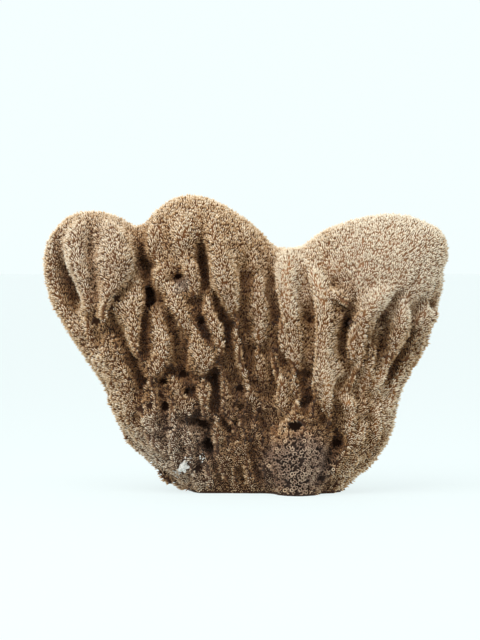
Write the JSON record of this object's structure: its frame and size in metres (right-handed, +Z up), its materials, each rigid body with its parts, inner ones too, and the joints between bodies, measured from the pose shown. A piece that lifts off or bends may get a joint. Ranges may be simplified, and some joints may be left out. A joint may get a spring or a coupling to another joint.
{
  "type": "sea sponge",
  "caption": "Dried sea sponge with broad lobes fanning out of a narrow flat-cut foot, ribbed with upright fingers, clefts and pores and covered in small fibre tufts.",
  "frame": {"origin": "under the middle of the sponge's box, on the flat cut that it stands on", "axes": "+X to the right across the three lobes, +Y to the back, +Z up; the ribbed face of the picture looks along -Y"},
  "size_m": [0.3002, 0.1252, 0.2199],
  "materials": {
    "sponge_fibre": "dry horny fibre in short tufts, matt, cream at the tips and dark brown in the clefts",
    "coral_grit": "chalky white mineral, matt and pitted"
  },
  "bodies": {
    "root": {"sponge": "sponge_fibre", "coral_chip": "coral_grit"}
  },
  "joints": []
}
